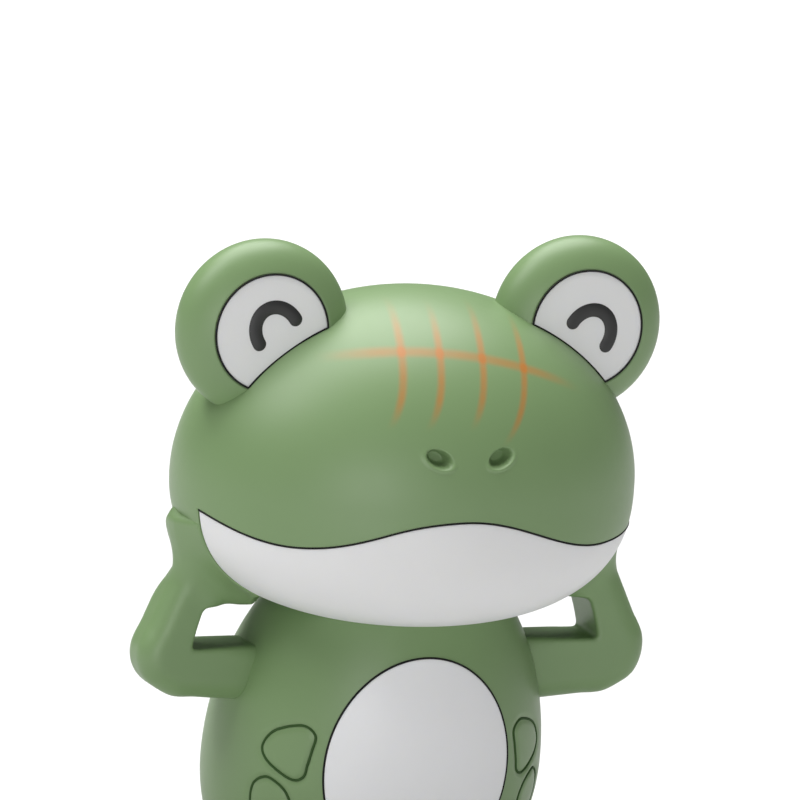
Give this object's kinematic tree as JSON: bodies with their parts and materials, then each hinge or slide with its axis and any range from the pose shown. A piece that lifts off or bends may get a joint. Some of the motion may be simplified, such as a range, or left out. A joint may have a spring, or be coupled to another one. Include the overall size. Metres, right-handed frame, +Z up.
{
  "type": "wind-up jumping frog toy",
  "caption": "Upright clockwork frog with its hands on its cheeks. A side key winds a spring motor whose cam kicks both feet down to make it hop.",
  "frame": {"origin": "centre of the bounding box on the floor under the feet", "axes": "+Z up, the frog faces -Y, its left side is +X"},
  "size_m": [0.0684, 0.048, 0.1],
  "materials": {
    "green_plastic": "satin moulded plastic",
    "white_plastic": "satin moulded plastic",
    "motor_plastic": "natural acetal",
    "steel": "zinc plated",
    "brass": "machined",
    "spring_steel": "blued spring steel"
  },
  "bodies": {
    "body_core": {"head_front_shell": "green_plastic", "head_rear_shell": "green_plastic", "jaw_shell": "white_plastic", "eye_housing_left": "green_plastic", "eye_housing_right": "green_plastic", "eye_white_left": "white_plastic", "eye_white_right": "white_plastic", "body_front_shell": "green_plastic", "body_rear_shell": "green_plastic", "belly_plate": "white_plastic", "neck_plate": "motor_plastic", "neck_screw": "steel", "arm_left": "green_plastic", "arm_right": "green_plastic", "base_plate": "green_plastic", "base_screw_1": "steel", "base_screw_2": "steel", "base_screw_3": "steel", "base_screw_4": "steel", "leg_pivot_pin": "steel", "motor_plate_left": "motor_plastic", "motor_plate_right": "motor_plastic", "motor_pillar_1": "steel", "motor_pillar_2": "steel", "motor_pillar_3": "steel", "motor_pillar_4": "steel", "mainspring": "spring_steel", "leg_return_spring": "spring_steel"},
    "drive": {"winding_arbor": "steel", "great_wheel": "brass", "ratchet_wheel": "steel", "click": "steel", "click_spring": "spring_steel", "winding_key": "white_plastic"},
    "second_wheel": {"second_shaft": "steel", "second_pinion": "brass", "second_gear": "motor_plastic"},
    "third_wheel": {"third_shaft": "steel", "third_pinion": "brass", "third_gear": "motor_plastic"},
    "crank": {"crank_shaft": "steel", "crank_pinion": "brass", "crank_cam": "motor_plastic"},
    "legs": {"leg_lever_left": "green_plastic", "leg_lever_right": "green_plastic", "foot_left": "green_plastic", "foot_right": "green_plastic", "foot_screw_left": "steel", "foot_screw_right": "steel", "haunch_left": "green_plastic", "haunch_right": "green_plastic", "yoke_bar": "green_plastic", "push_tongue": "motor_plastic"}
  },
  "joints": [
    {"name": "key_turn", "type": "hinge", "parent": "body_core", "child": "drive", "pos_m": [0, 0.006, 0.0183], "axis": [1, 0, 0], "continuous": true},
    {"name": "second_spin", "type": "hinge", "parent": "body_core", "child": "second_wheel", "pos_m": [0, 0.01201, 0.025], "axis": [1, 0, 0], "continuous": true},
    {"name": "third_spin", "type": "hinge", "parent": "body_core", "child": "third_wheel", "pos_m": [0, 0.008, 0.0325], "axis": [1, 0, 0], "continuous": true},
    {"name": "crank_spin", "type": "hinge", "parent": "body_core", "child": "crank", "pos_m": [0, 0.00161, 0.02617], "axis": [1, 0, 0], "continuous": true},
    {"name": "leg_kick", "type": "hinge", "parent": "body_core", "child": "legs", "pos_m": [0, 0.016, 0.0065], "axis": [1, 0, 0], "range_deg": [0, 10], "stiffness_Nm_per_rad": 0.02, "springref_deg": -17.19}
  ],
  "couplings": [
    {"joint": "second_spin", "follows": "key_turn", "ratio": -2.6},
    {"joint": "third_spin", "follows": "key_turn", "ratio": 6.24},
    {"joint": "crank_spin", "follows": "key_turn", "ratio": -12.48}
  ]
}
